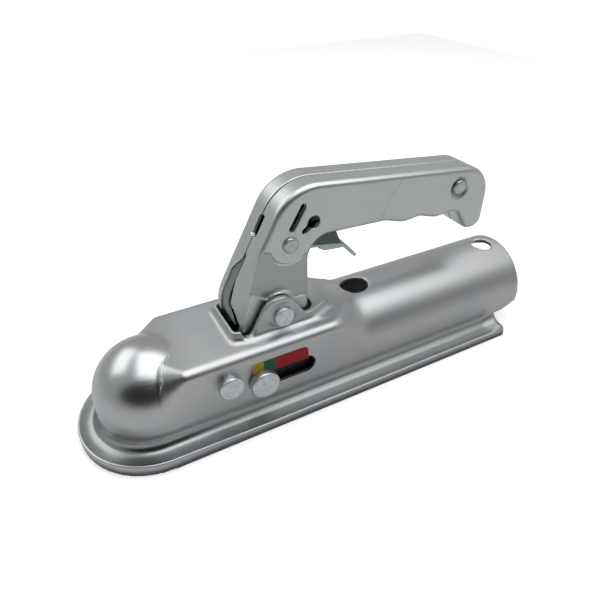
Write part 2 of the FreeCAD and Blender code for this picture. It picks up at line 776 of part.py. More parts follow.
def pins_and_rivets():
    pivot = (s.pivot_x, s.pivot_z)
    front = (s.front_rivet_x, s.front_rivet_z)
    rear = (s.rear_rivet_x, s.rear_rivet_z)
    head = s.rivet_head_radius
    lift = s.rivet_head_rise
    riveted("pivot_pin", *pivot, s.pivot_radius, s.pivot_head_radius, ear_half + s.boss_rise,
            s.pivot_head_rise, 0.8)
    riveted("front_rivet", *front, s.rivet_radius, head, s.handle_half, lift, 1.2)
    riveted("rear_rivet", *rear, s.rivet_radius, head, s.handle_half - s.dimple_depth, lift, 1.2)
    inner = s.handle_half - s.handle_wall
    pivot_bore = s.pivot_radius + s.running_gap
    ring("rear_spacer", *rear, s.rivet_radius + s.running_gap, s.spacer_radius, -inner, inner)
    ring("pivot_sleeve", *pivot, pivot_bore, s.sleeve_radius, -inner, inner)
    washer_low = s.handle_half + s.seam_gap
    ring("pivot_washer_near", *pivot, pivot_bore, s.sleeve_radius, washer_low, opening_half)
    ring("pivot_washer_far", *pivot, pivot_bore, s.sleeve_radius, -opening_half, -washer_low)

    tail = outer_radius + s.washer_wall + 1.5
    keep(turned("jaw_pin", [
        (0, -tail), (s.jaw_pin_radius, -tail, 0.6), (s.jaw_pin_radius, outer_radius),
        (s.jaw_head_radius, outer_radius), (s.jaw_head_radius, outer_radius + s.head_rise, 1.0),
        (0, outer_radius + s.head_rise)], s.jaw_pin_x, s.jaw_pin_z))
    ring("jaw_pin_ring", s.jaw_pin_x, s.jaw_pin_z, s.jaw_pin_radius, 7.0, -outer_radius - s.washer_wall,
         -outer_radius)

    head_low = outer_radius + s.strip_wall + s.slot_gap
    ring_low = outer_radius + s.slot_gap
    ring_high = ring_low + s.washer_wall
    shaft_end = ring_high + 2.7
    keep(turned("lock_pin", [
        (0, -shaft_end), (s.lock_radius, -shaft_end, 0.6), (s.lock_radius, head_low),
        (s.lock_head_radius, head_low), (s.lock_head_radius, head_low + s.head_rise - 0.4, 1.0),
        (0, head_low + s.head_rise - 0.4)], s.lock_x, s.lock_z))
    lock = (s.lock_x, s.lock_z)
    ring("lock_pin_washer", *lock, s.lock_radius, s.lock_head_radius, -ring_high, -ring_low)
    ring("lock_pin_clip", *lock, s.lock_radius, s.lock_radius + 2.0, -ring_high - 1.0, -ring_high)


def slot_cover(name, side):
    # The black guide that follows the lock pin inside the housing and closes the slot.
    body = new_body(name)
    face = inner_half - s.cover_gap
    back = face - s.cover_wall
    foot = s.handle_half + s.cover_gap
    reach = s.lock_radius + s.slot_gap + s.cover_margin
    plate = [(s.cover_front, s.lock_z - reach, 2.0), (s.cover_rear, s.lock_z - reach, 2.0),
             (s.cover_rear, s.lock_z + reach, 2.0), (s.cover_front, s.lock_z + reach, 2.0)]
    spans = [(-face, -back), (-back, -foot)] if side < 0 else [(back, face), (foot, back)]
    extrude(body, "Pad", f"{name}_plate", "XZ_Plane", *spans[0], lambda sketch: add_outline(sketch, plate))
    extrude(body, "Pad", f"{name}_sleeve", "XZ_Plane", *spans[1],
            lambda sketch: add_circle(sketch, s.lock_x, s.lock_z, s.sleeve_radius))
    round_cut(body, f"{name}_bore", s.lock_x, s.lock_z, s.lock_radius)
    return keep(body)


def indicator_strip():
    body = new_body("indicator_strip")
    low = s.lock_z + s.lock_radius + s.slot_gap + 0.2
    corners = [(s.strip_front, low), (s.strip_rear, low), (s.strip_rear, s.strip_top, 2.5),
               (s.strip_front, s.strip_top)]
    extrude(body, "Pad", "strip_plate", "XZ_Plane", -outer_radius - s.strip_wall, -outer_radius,
            lambda sketch: add_outline(sketch, corners))
    return keep(body)


def thrust_block():
    body = new_body("thrust_block")
    crown = s.lock_z + s.block_round
    corners = [
        (s.block_front, s.block_low, 1.5), (s.block_front, s.block_step, 1.0),
        (s.lock_x - 10.0, s.block_step, 3.0), (s.lock_x - 4.0, crown, 4.0),
        (s.block_rear, crown, 1.5), (s.block_rear, s.lock_z - s.block_round, 1.5),
        (s.lock_x - 2.0, s.block_low, 3.0),
    ]
    extrude(body, "Pad", "block_profile", "XZ_Plane", -s.block_half, s.block_half,
            lambda sketch: add_outline(sketch, corners))
    round_cut(body, "block_bore", s.lock_x, s.lock_z, s.lock_radius)
    return keep(body)


def main_spring_parts():
    guide = new_body("spring_guide")
    extrude(guide, "Pad", "guide_rod", "YZ_Plane", s.block_rear, s.block_rear + s.guide_length,
            lambda sketch: add_circle(sketch, 0, s.lock_z, s.guide_radius))
    keep(guide)
    spring = coil("main_spring", s.spring_mean, s.spring_wire, s.seat_x - s.block_rear, s.spring_turns.value)
    spring.Placement = Placement(Vector(0, 0, 0), Rotation(Vector(0, 1, 0), 90))
    bind(spring, "Placement.Base.x", s.block_rear)
    bind(spring, "Placement.Base.z", s.lock_z)
    keep(spring)

    seat = new_body("spring_seat")
    low = -8.0
    high = -s.tube_drop
    tongue = s.spring_mean + s.spring_wire + 1.1
    crown = s.lock_z + s.spring_mean + s.spring_wire
    plate = [(-inner_half, low), (inner_half, low), (inner_half, high), (tongue, high, 2.0),
             (tongue, crown, 3.0), (-tongue, crown, 3.0), (-tongue, high, 2.0), (-inner_half, high)]
    extrude(seat, "Pad", "seat_plate", "YZ_Plane", s.seat_x, s.seat_x + s.seat_wall,
            lambda sketch: add_outline(sketch, plate))
    for side in (-1, 1):
        wide = sorted((side * inner_half.value, side * (inner_half.value - 3.0)))
        extrude(seat, "Pad", f"seat_ear{side + 1}", "YZ_Plane", s.seat_x - 10.0, s.seat_x,
                lambda sketch, wide=wide: add_outline(
                    sketch, [(wide[0], low), (wide[1], low), (wide[1], high), (wide[0], high)]))
    keep(seat)


def ball_jaw():
    # The curved jaw that closes under the ball, hung on its own pin.
    outer = doc.addObject("Part::Sphere", "jaw_outer")
    bind(outer, "Radius", s.ball_radius + s.jaw_gap + s.jaw_wall)
    bind(outer, "Angle1", -s.jaw_low)
    bind(outer, "Angle2", s.jaw_high)
    bind(outer, "Angle3", s.jaw_spread)
    outer.Placement = Placement(Vector(0, 0, 0), Rotation(Vector(0, 0, 1), -DRIVING_SIZES["jaw_spread"] / 2))
    body = new_body("jaw_hinge")
    web = [(24.0, s.block_step + 0.6), (s.jaw_pin_x, s.block_step + 0.6), (s.jaw_pin_x, s.jaw_pin_z + 6.5),
           (24.0, s.jaw_pin_z - 2.0)]
    extrude(body, "Pad", "jaw_web", "XZ_Plane", -s.jaw_half, s.jaw_half,
            lambda sketch: add_outline(sketch, web))
    extrude(body, "Pad", "jaw_boss", "XZ_Plane", -s.jaw_half, s.jaw_half,
            lambda sketch: add_circle(sketch, s.jaw_pin_x, s.jaw_pin_z, s.jaw_boss_radius))
    whole = combine("Fuse", "jaw_blank", outer, body)
    hole = new_body("jaw_bore")
    extrude(hole, "Pad", "jaw_bore_rod", "XZ_Plane", -far_out, far_out,
            lambda sketch: add_circle(sketch, s.jaw_pin_x, s.jaw_pin_z, s.jaw_pin_radius + s.running_gap))
    ball_space = doc.addObject("Part::Sphere", "jaw_ball_space")
    bind(ball_space, "Radius", s.ball_radius + s.jaw_gap)
    bored = combine("Cut", "jaw_bored", whole, hole)
    return keep(combine("Cut", "ball_jaw", bored, ball_space))


def small_springs():
    wire = s.small_wire
    jaw_side = s.jaw_half + 1.5
    for name, x, z, mean, low, length, turns in (
        ("jaw_spring", s.jaw_pin_x, s.jaw_pin_z, s.jaw_pin_radius + 1.5, -jaw_side - 6.0,
         as_size(6.0), 4.0),
        ("trigger_spring", s.front_rivet_x, s.front_rivet_z, s.rivet_radius + 1.6, as_size(-3.8),
         as_size(7.6), 5.0),
    ):
        spring = coil(name, mean, wire, length, turns)
        spring.Placement = Placement(Vector(0, 0, 0), Rotation(Vector(1, 0, 0), 90))
        bind(spring, "Placement.Base.x", x)
        bind(spring, "Placement.Base.y", -low)
        bind(spring, "Placement.Base.z", z)
        keep(spring)


def trigger():
    # The squeeze catch under the lever, a folded channel on the front rivet.
    body = new_body("trigger")
    half = s.trigger_half
    cheek = [(73.5, 77.0, 5.0), (106.0, 77.0, 3.0), (113.2, 59.2), (102.6, 60.0), (99.8, 61.9),
             (86.0, 63.5, 6.0), (64.5, 43.2, 1.5), (60.5, 44.5, 1.5), (66.0, 58.0, 10.0)]
    strip = [(100.3, 62.5), (103.0, 60.9, 3.0), (115.4, 59.7, 3.0), (123.2, 50.9), (121.7, 49.6),
             (114.5, 57.7, 1.0), (102.4, 58.9, 1.0), (99.2, 61.0)]
    foot = [(60.5, 44.5, 0.9), (64.5, 43.2, 0.9), (65.9, 45.0), (61.3, 46.4)]
    extrude(body, "Pad", "trigger_cheeks", "XZ_Plane", -half, half,
            lambda sketch: add_outline(sketch, cheek))
    hollow = [(50.0, 30.0), (120.0, 30.0), (120.0, 90.0), (50.0, 90.0)]
    extrude(body, "Pocket", "trigger_channel", "XZ_Plane", -half + s.trigger_wall, half - s.trigger_wall,
            lambda sketch: add_outline(sketch, hollow))
    extrude(body, "Pad", "trigger_strip", "XZ_Plane", -half, half, lambda sketch: add_outline(sketch, strip))
    extrude(body, "Pad", "trigger_foot", "XZ_Plane", -half, half, lambda sketch: add_outline(sketch, foot))
    round_cut(body, "trigger_bore", s.front_rivet_x, s.front_rivet_z, s.rivet_radius + s.running_gap)
    return keep(body)


housing()
handle_shells()
pins_and_rivets()
slot_cover("slot_cover_near", -1)
slot_cover("slot_cover_far", 1)
indicator_strip()
thrust_block()
main_spring_parts()
ball_jaw()
small_springs()
trigger()


def check_and_export():
    doc.recompute()
    os.makedirs("parts", exist_ok=True)
    for item in doc.Objects:
        if "Invalid" in item.State or "Error" in item.State:
            raise RuntimeError(f"{item.Name} failed: {item.State}")
    for item in parts:
        shape = item.Shape
        if shape.isNull() or not shape.isValid():
            raise RuntimeError(f"{item.Label} has no valid shape")
        shape.exportStep(f"parts/{item.Label}.step")
        print(item.Label, len(shape.Solids), round(shape.Volume, 1), shape.BoundBox)


check_and_export()
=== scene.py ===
import math

import bpy
import numpy
from mathutils import Matrix, Vector


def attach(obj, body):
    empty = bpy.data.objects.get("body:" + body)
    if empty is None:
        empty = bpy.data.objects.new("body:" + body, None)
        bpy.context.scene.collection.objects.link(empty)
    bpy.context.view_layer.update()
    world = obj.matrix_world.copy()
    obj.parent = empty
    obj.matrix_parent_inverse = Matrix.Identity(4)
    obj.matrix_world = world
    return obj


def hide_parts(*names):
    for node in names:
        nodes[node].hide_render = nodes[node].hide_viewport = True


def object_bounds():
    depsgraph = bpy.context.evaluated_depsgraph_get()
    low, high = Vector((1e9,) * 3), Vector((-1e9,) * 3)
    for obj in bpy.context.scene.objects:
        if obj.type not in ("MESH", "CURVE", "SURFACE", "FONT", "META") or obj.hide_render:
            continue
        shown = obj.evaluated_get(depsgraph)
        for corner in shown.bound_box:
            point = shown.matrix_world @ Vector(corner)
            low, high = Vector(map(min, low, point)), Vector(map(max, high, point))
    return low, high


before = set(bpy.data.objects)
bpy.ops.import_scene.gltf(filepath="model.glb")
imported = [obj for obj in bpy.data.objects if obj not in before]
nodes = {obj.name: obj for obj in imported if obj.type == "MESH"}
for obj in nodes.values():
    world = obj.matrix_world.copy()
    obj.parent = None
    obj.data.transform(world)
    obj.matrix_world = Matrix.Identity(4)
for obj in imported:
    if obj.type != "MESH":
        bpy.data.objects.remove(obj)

# Trailer coupling head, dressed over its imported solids.
# Everything is in metres: origin at the ball centre, +X along the drawbar, +Z up.

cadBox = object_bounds()
scene = bpy.context.scene
floorZ = cadBox[0].z

print("frame loaded with", len(nodes), "nodes")


# Node helpers

def feed(tree, socket, value):
    # A number or a colour is set on the socket, and an output is linked to it.
    if isinstance(value, (int, float, tuple)):
        socket.default_value = value
    else:
        tree.links.new(value, socket)


def addMath(tree, operation, *values):
    node = tree.nodes.new("ShaderNodeMath")
    node.operation = operation
    for place, value in enumerate(values):
        feed(tree, node.inputs[place], value)
    return node.outputs[0]


def multiplyAll(tree, first, *others):
    for other in others:
        first = addMath(tree, "MULTIPLY", first, other)
    return first


def addSquares(tree, first, second):
    return addMath(tree, "ADD", addMath(tree, "MULTIPLY", first, first),
                   addMath(tree, "MULTIPLY", second, second))


def addRamp(tree, value, start, end, low=0.0, high=1.0, soft=False):
    node = tree.nodes.new("ShaderNodeMapRange")
    if soft:
        node.interpolation_type = "SMOOTHSTEP"
    for name, number in (("From Min", start), ("From Max", end), ("To Min", low), ("To Max", high)):
        node.inputs[name].default_value = number
    tree.links.new(value, node.inputs["Value"])
    return node.outputs["Result"]


def addMix(tree, share, first, second):
    node = tree.nodes.new("ShaderNodeMix")
    node.data_type = "RGBA"
    for place, value in ((0, share), (6, first), (7, second)):
        feed(tree, node.inputs[place], value)
    return node.outputs[2]


def addDot(tree, place, direction):
    # How far a place lies along a direction.
    node = tree.nodes.new("ShaderNodeVectorMath")
    node.operation = "DOT_PRODUCT"
    node.inputs[1].default_value = direction
    tree.links.new(place, node.inputs[0])
    return node.outputs["Value"]


def addNoise(tree, place, scale, detail=2.0):
    node = tree.nodes.new("ShaderNodeTexNoise")
    node.inputs["Detail"].default_value = detail
    feed(tree, node.inputs["Scale"], scale)
    tree.links.new(place, node.inputs["Vector"])
    return node.outputs["Fac"]


def addSplit(tree, vector):
    node = tree.nodes.new("ShaderNodeSeparateXYZ")
    tree.links.new(vector, node.inputs[0])
    return node.outputs


def addPlace(tree):
    return tree.nodes.new("ShaderNodeTexCoord").outputs["Object"]


# Camera

cameraView = {
    "azimuth": -27.52,
    "elevation": 35.87,
    "roll": -0.58,
    "place": (-0.0206, -0.2150, 0.2008),
    "focalPixels": 524.68,
    "framePixels": 600.0,
    "sensor": 36.0,
    "clipStart": 0.01,
}


def aim(azimuth, elevation):
    # A direction by its turn from the front towards +X and its height.
    turn = math.radians(azimuth)
    rise = math.radians(elevation)
    return Vector((math.sin(turn) * math.cos(rise), -math.cos(turn) * math.cos(rise), math.sin(rise)))


def levelAcross(azimuth):
    # The level direction at right angles to that turn.
    return Vector((math.cos(math.radians(azimuth)), math.sin(math.radians(azimuth)), 0.0))


def makeCamera(view):
    roll = math.radians(view["roll"])
    back = aim(view["azimuth"], view["elevation"])
    flat = levelAcross(view["azimuth"])
    upright = back.cross(flat)
    right = flat * math.cos(roll) + upright * math.sin(roll)
    up = upright * math.cos(roll) - flat * math.sin(roll)
    data = bpy.data.cameras.new("photoCamera")
    data.sensor_width = view["sensor"]
    data.lens = view["focalPixels"] / view["framePixels"] * view["sensor"]
    data.clip_start = view["clipStart"]
    camera = bpy.data.objects.new("photoCamera", data)
    scene.collection.objects.link(camera)
    axes = Matrix((right, up, back)).transposed().to_4x4()
    camera.matrix_world = Matrix.Translation(Vector(view["place"])) @ axes
    scene.camera = camera


makeCamera(cameraView)


# Studio: grey surround with a dark card that the metal mirrors, soft lamps, pale floor

studio = {
    "surround": 0.50,
    "cardAzimuth": -16.0,
    "cardElevation": 30.0,
    "cardWide": 0.80,
    "cardHigh": 0.46,
    "cardLight": 0.0,
    "cardEdge": (0.75, 1.35),
    "pastCard": 4.0,
    "floorColour": 0.66,
    "floorSize": 1.8,
    "floorLift": 0.50,
}

softLamps = {
    # name: (azimuth, elevation, distance, width, height, radiance)
    "overhead": (70.0, 80.0, 1.0, 1.20, 1.05, 1.9),
    "frontRight": (44.0, 48.0, 1.1, 0.72, 0.46, 1.35),
    "backLeft": (-136.0, 42.0, 1.1, 0.96, 0.58, 1.7),
}


def makeSurround():
    # Only the camera sees the surround white.
    world = bpy.data.worlds.new("studioWorld")
    scene.world = world
    world.use_nodes = True
    tree = world.node_tree
    tree.nodes.clear()
    place = tree.nodes.new("ShaderNodeTexCoord").outputs["Generated"]
    centre = aim(studio["cardAzimuth"], studio["cardElevation"])
    level = levelAcross(studio["cardAzimuth"])
    aside = addDot(tree, place, level / studio["cardWide"])
    above = addDot(tree, place, level.cross(centre) / studio["cardHigh"])
    behind = addMath(tree, "LESS_THAN", addDot(tree, place, centre), 0.0)
    away = addMath(tree, "MULTIPLY_ADD", behind, studio["pastCard"], addSquares(tree, aside, above))
    card = addRamp(tree, away, *studio["cardEdge"], studio["cardLight"], studio["surround"], soft=True)
    rays = tree.nodes.new("ShaderNodeLightPath")
    mix = tree.nodes.new("ShaderNodeMix")
    mix.data_type = "FLOAT"
    for slot, value in ((0, rays.outputs["Is Camera Ray"]), (2, card), (3, 1.0)):
        feed(tree, mix.inputs[slot], value)
    surround = tree.nodes.new("ShaderNodeBackground")
    surround.inputs["Color"].default_value = (1.0, 1.0, 1.0, 1.0)
    tree.links.new(mix.outputs[0], surround.inputs["Strength"])
    out = tree.nodes.new("ShaderNodeOutputWorld")
    tree.links.new(surround.outputs[0], out.inputs["Surface"])


def makeLamps():
    middle = (cadBox[0] + cadBox[1]) / 2
    for name, (azimuth, elevation, distance, width, height, radiance) in softLamps.items():
        lamp = bpy.data.lights.new(name, "AREA")
        lamp.shape = "RECTANGLE"
        lamp.size = width
        lamp.size_y = height
        lamp.energy = radiance * math.pi * width * height
        holder = bpy.data.objects.new(name, lamp)
        scene.collection.objects.link(holder)
        towards = aim(azimuth, elevation)
        holder.location = middle + towards * distance
        holder.rotation_mode = "QUATERNION"
        holder.rotation_quaternion = (-towards).to_track_quat("-Z", "Y")


def makeFloor():
    bpy.ops.object.select_all(action="DESELECT")
    bpy.ops.mesh.primitive_plane_add(size=studio["floorSize"], location=(0.0, 0.0, floorZ))
    floor = bpy.context.object
    floor.name = "studioFloor"
    paper = bpy.data.materials.new("floorPaper")
    paper.use_nodes = True
    tree = paper.node_tree
    tree.nodes.clear()
    matt = tree.nodes.new("ShaderNodeBsdfDiffuse")
    matt.inputs["Color"].default_value = (studio["floorColour"],) * 3 + (1.0,)
    glow = tree.nodes.new("ShaderNodeEmission")
    rays = tree.nodes.new("ShaderNodeLightPath")
    lift = addMath(tree, "MULTIPLY", rays.outputs["Is Camera Ray"], studio["floorLift"])
    tree.links.new(lift, glow.inputs["Strength"])
    both = tree.nodes.new("ShaderNodeAddShader")
    tree.links.new(matt.outputs[0], both.inputs[0])
    tree.links.new(glow.outputs[0], both.inputs[1])
    out = tree.nodes.new("ShaderNodeOutputMaterial")
    tree.links.new(both.outputs[0], out.inputs["Surface"])
    floor.data.materials.append(paper)


scene.view_settings.view_transform = "Standard"
makeSurround()
makeLamps()
makeFloor()
print("camera and studio made")


# Finishes

zincPlate = {
    # what all plated pieces share
    "inputs": ("Tone", "Second Tone", "Cloud Scale", "Grain", "Gloss", "Relief"),
    "cloudDetail": 4.0,
    "cloudSpan": (0.35, 0.75),
    "grainScale": 900.0,
    "grainDetail": 6.0,
    "rollScale": (60.0, 60.0, 900.0),
    "rollDetail": 5.0,
    "reliefHeight": 0.0001,
}

zincLooks = {
    # name: tone, second tone, cloud scale, grain, gloss, relief
    "housingSteel": ((0.45, 0.47, 0.485), (0.49, 0.49, 0.48), 38.0, 0.035, 0.43, 0.05),
    "handleSteel": ((0.53, 0.55, 0.555), (0.49, 0.52, 0.515), 45.0, 0.08, 0.37, 0.06),
    "pinSteel": ((0.66, 0.69, 0.73), (0.47, 0.49, 0.52), 520.0, 0.10, 0.36, 0.55),
    # the far half's front flange: its greenish tint is the sheet's own, its darkness is painted shade inside
    # the lever's front
    "shadedFlangeSteel": ((0.25, 0.285, 0.27), (0.20, 0.235, 0.22), 90.0, 0.10, 0.40, 0.10),
    "rivetSteel": ((0.50, 0.52, 0.53), (0.36, 0.38, 0.39), 420.0, 0.16, 0.36, 0.30),
    "triggerSteel": ((0.40, 0.46, 0.43), (0.35, 0.42, 0.39), 90.0, 0.10, 0.36, 0.06),
    "castSteel": ((0.30, 0.31, 0.32), (0.35, 0.35, 0.34), 120.0, 0.20, 0.52, 0.40),
    "springSteel": ((0.40, 0.40, 0.39), (0.34, 0.34, 0.34), 200.0, 0.12, 0.34, 0.06),
}


def makeZincGroup():
    # Plated sheet: cloudy tone, fine grain in the gloss, faint rolling marks.
    group = bpy.data.node_groups.new("zincPlate", "ShaderNodeTree")
    for name in zincPlate["inputs"]:
        kind = "NodeSocketColor" if "Tone" in name else "NodeSocketFloat"
        group.interface.new_socket(name=name, in_out="INPUT", socket_type=kind)
    for name, kind in (("Colour", "Color"), ("Roughness", "Float"), ("Normal", "Vector")):
        group.interface.new_socket(name=name, in_out="OUTPUT", socket_type="NodeSocket" + kind)
    inward = group.nodes.new("NodeGroupInput").outputs
    outward = group.nodes.new("NodeGroupOutput").inputs
    place = addPlace(group)

    cloud = addNoise(group, place, inward["Cloud Scale"], zincPlate["cloudDetail"])
    share = addRamp(group, cloud, *zincPlate["cloudSpan"])
    feed(group, outward["Colour"], addMix(group, share, inward["Tone"], inward["Second Tone"]))

    grain = addNoise(group, place, zincPlate["grainScale"], zincPlate["grainDetail"])
    centred = addMath(group, "SUBTRACT", grain, 0.5)
    rough = addMath(group, "MULTIPLY_ADD", centred, inward["Grain"], inward["Gloss"])
    feed(group, outward["Roughness"], rough)

    stretch = group.nodes.new("ShaderNodeMapping")
    stretch.inputs["Scale"].default_value = zincPlate["rollScale"]
    feed(group, stretch.inputs["Vector"], place)
    rolled = addNoise(group, stretch.outputs["Vector"], 1.0, zincPlate["rollDetail"])
    bump = group.nodes.new("ShaderNodeBump")
    bump.inputs["Distance"].default_value = zincPlate["reliefHeight"]
    feed(group, bump.inputs["Height"], addMath(group, "ADD", rolled, grain))
    feed(group, bump.inputs["Strength"], inward["Relief"])
    feed(group, outward["Normal"], bump.outputs["Normal"])
    return group


def newMaterial(name):
    material = bpy.data.materials.new(name)
    material.use_nodes = True
    tree = material.node_tree
    return material, tree, tree.nodes["Principled BSDF"]


def makeZinc(name):
    material, tree, surface = newMaterial(name)
    surface.inputs["Metallic"].default_value = 1.0
    effect = tree.nodes.new("ShaderNodeGroup")
    effect.node_tree = zincGroup
    tone, second, *numbers = zincLooks[name]
    for socket, value in zip(zincPlate["inputs"], (tone + (1.0,), second + (1.0,), *numbers)):
        effect.inputs[socket].default_value = value
    for source, target in (("Colour", "Base Color"), ("Roughness", "Roughness"), ("Normal", "Normal")):
        tree.links.new(effect.outputs[source], surface.inputs[target])
    return material


plasticLooks = {
    # name: colour, gloss
    "blackGuide": ((0.012, 0.013, 0.014), 0.42),
    "washerPlastic": ((0.05, 0.05, 0.05), 0.45),
}

plasticMottle = {
    "scale": 300.0,
    "darker": 0.8,
    "lighter": 1.25,
    "specular": 0.25,
}


def makePlastic(name):
    colour, gloss = plasticLooks[name]
    material, tree, surface = newMaterial(name)
    ramp = tree.nodes.new("ShaderNodeValToRGB")
    for element, change in zip(ramp.color_ramp.elements, ("darker", "lighter")):
        element.color = tuple(part * plasticMottle[change] for part in colour) + (1.0,)
    feed(tree, ramp.inputs["Fac"], addNoise(tree, addPlace(tree), plasticMottle["scale"]))
    feed(tree, surface.inputs["Base Color"], ramp.outputs["Color"])
    surface.inputs["Roughness"].default_value = gloss
    surface.inputs["Specular IOR Level"].default_value = plasticMottle["specular"]
    return material


indicatorPrint = {
    "yellow": (0.36, 0.25, 0.004, 1.0),
    # each next colour and where it begins
    "fields": (((0.008, 0.095, 0.038, 1.0), 0.0549), ((0.28, 0.006, 0.012, 1.0), 0.0615)),
    "gloss": 0.42,
    "specular": 0.2,
}


def makeIndicatorPrint():
    material, tree, surface = newMaterial("indicatorPrint")
    along = addSplit(tree, addPlace(tree))["X"]
    colour = indicatorPrint["yellow"]
    for field, start in indicatorPrint["fields"]:
        colour = addMix(tree, addMath(tree, "GREATER_THAN", along, start), colour, field)
    feed(tree, surface.inputs["Base Color"], colour)
    surface.inputs["Roughness"].default_value = indicatorPrint["gloss"]
    surface.inputs["Specular IOR Level"].default_value = indicatorPrint["specular"]
    return material


def openSurface(material):
    # The parts of a finished material that local marks are added to.
    tree = material.node_tree
    effect = next(node for node in tree.nodes if node.bl_idname == "ShaderNodeGroup")
    place = addPlace(tree)
    return tree, tree.nodes["Principled BSDF"], effect, place, addSplit(tree, place)


def addBand(tree, value, low, high):
    # One between two limits, and nothing outside them.
    return addMath(tree, "MULTIPLY", addMath(tree, "GREATER_THAN", value, low),
                   addMath(tree, "LESS_THAN", value, high))


def addSideFacing(tree):
    # How far the surface faces +Y.
    shape = tree.nodes.new("ShaderNodeNewGeometry")
    return addSplit(tree, shape.outputs["Normal"])["Y"]


pressingMarksAndShade = {
    "domeGloss": 0.285,
    "domeSpan": (0.004, 0.030),
    # bright scores where the dome meets the shoulder
    "scores": (
        # normal of the score's plane, its offset, half width, strength
        ((0.9400, -0.2878, -0.1831), 0.00574, 0.00022, 0.8),
        ((0.9160, -0.3295, -0.2287), 0.00605, 0.00034, 1.0),
        ((0.8654, -0.3978, -0.3047), 0.00652, 0.00026, 0.9),
    ),
    "scoreCore": 0.2,
    "scoreLimits": (("Z", 0.0140, 0.0165), ("Z", 0.0258, 0.0240), ("Y", -0.0080, -0.0110)),
    "scoreTone": (0.82, 0.83, 0.84, 1.0),
    "scoreRough": 0.22,
    "wanderScale": 260.0,
    "wanderReach": 0.0009,
    "breakScale": 700.0,
    "breakSpan": (0.36, 0.52),
    # painted shade on the flange, between the wall and the rim's edge
    "ledgeShadeFrom": (0.0290, 0.0312),
    "ledgeShadeTo": (0.0395, 0.0388),
    "ledgeShadeBelow": (-0.0100, -0.0135),
    "ledgeShadeTone": (0.285, 0.297, 0.30, 1.0),
    # painted shade on the lower part of the rim's side
    "rimSideShadeFrom": (0.0392, 0.0398),
    "rimSideShadeBelow": (-0.0174, -0.0204),
    "rimSideShadeTone": (0.13, 0.135, 0.15, 1.0),
    # painted shade on the cut edge round the near slot
    "slotX": (0.0480, 0.0872),
    "slotZ": (-0.0018, 0.0105),
    "slotFace": (-0.02846, -0.02837),
    "slotInside": -0.0248,
    "slotEdgeShadeTone": (0.03, 0.03, 0.032, 1.0),
}


def makePressingMarksAndShade(material):
    # The housing's dome is drawn smoother than its sides and is scored at one shoulder; painted shade darkens
    # the flange's ledge, the rim's lower side and the cut edge round the near slot.
    tree, surface, effect, place, axes = openSurface(material)
    marks = pressingMarksAndShade
    gloss = effect.inputs["Gloss"]
    feed(tree, gloss, addRamp(tree, axes["X"], *marks["domeSpan"], marks["domeGloss"],
                              gloss.default_value, soft=True))

    wander = addMath(tree, "SUBTRACT", addNoise(tree, place, marks["wanderScale"]), 0.5)
    wander = addMath(tree, "MULTIPLY", wander, marks["wanderReach"])
    score = 0.0
    for normal, offset, wide, strength in marks["scores"]:
        bent = addMath(tree, "ADD", addDot(tree, place, normal), wander)
        away = addMath(tree, "ABSOLUTE", addMath(tree, "SUBTRACT", bent, offset))
        line = addRamp(tree, away, wide * marks["scoreCore"], wide, strength, 0.0)
        score = addMath(tree, "MAXIMUM", score, line)
    limits = [addRamp(tree, axes[axis], *span) for axis, *span in marks["scoreLimits"]]
    broken = addRamp(tree, addNoise(tree, place, marks["breakScale"]), *marks["breakSpan"])
    score = multiplyAll(tree, score, broken, *limits)
    colour = addMix(tree, score, effect.outputs["Colour"], marks["scoreTone"])

    # Painted shade on the flange's ledge and on the lower part of the rim's side.
    ahead = addMath(tree, "MINIMUM", axes["X"], 0.0)
    out = addMath(tree, "SQRT", addSquares(tree, ahead, axes["Y"]))
    ledgeShade = multiplyAll(tree, addRamp(tree, out, *marks["ledgeShadeFrom"]), addRamp(tree, out, *marks["ledgeShadeTo"]),
                       addRamp(tree, axes["Z"], *marks["ledgeShadeBelow"]))
    colour = addMix(tree, ledgeShade, colour, marks["ledgeShadeTone"])
    side = multiplyAll(tree, addRamp(tree, out, *marks["rimSideShadeFrom"]),
                       addRamp(tree, axes["Z"], *marks["rimSideShadeBelow"]))
    colour = addMix(tree, side, colour, marks["rimSideShadeTone"])

    # Painted shade on the cut edge round the near slot.
    edge = multiplyAll(tree, addRamp(tree, axes["Y"], *marks["slotFace"]),
                       addMath(tree, "LESS_THAN", axes["Y"], marks["slotInside"]),
                       addBand(tree, axes["X"], *marks["slotX"]), addBand(tree, axes["Z"], *marks["slotZ"]))
    colour = addMix(tree, edge, colour, marks["slotEdgeShadeTone"])
    feed(tree, surface.inputs["Base Color"], colour)
    rough = addMath(tree, "MULTIPLY_ADD", score, marks["scoreRough"], effect.outputs["Roughness"])
    feed(tree, surface.inputs["Roughness"], rough)


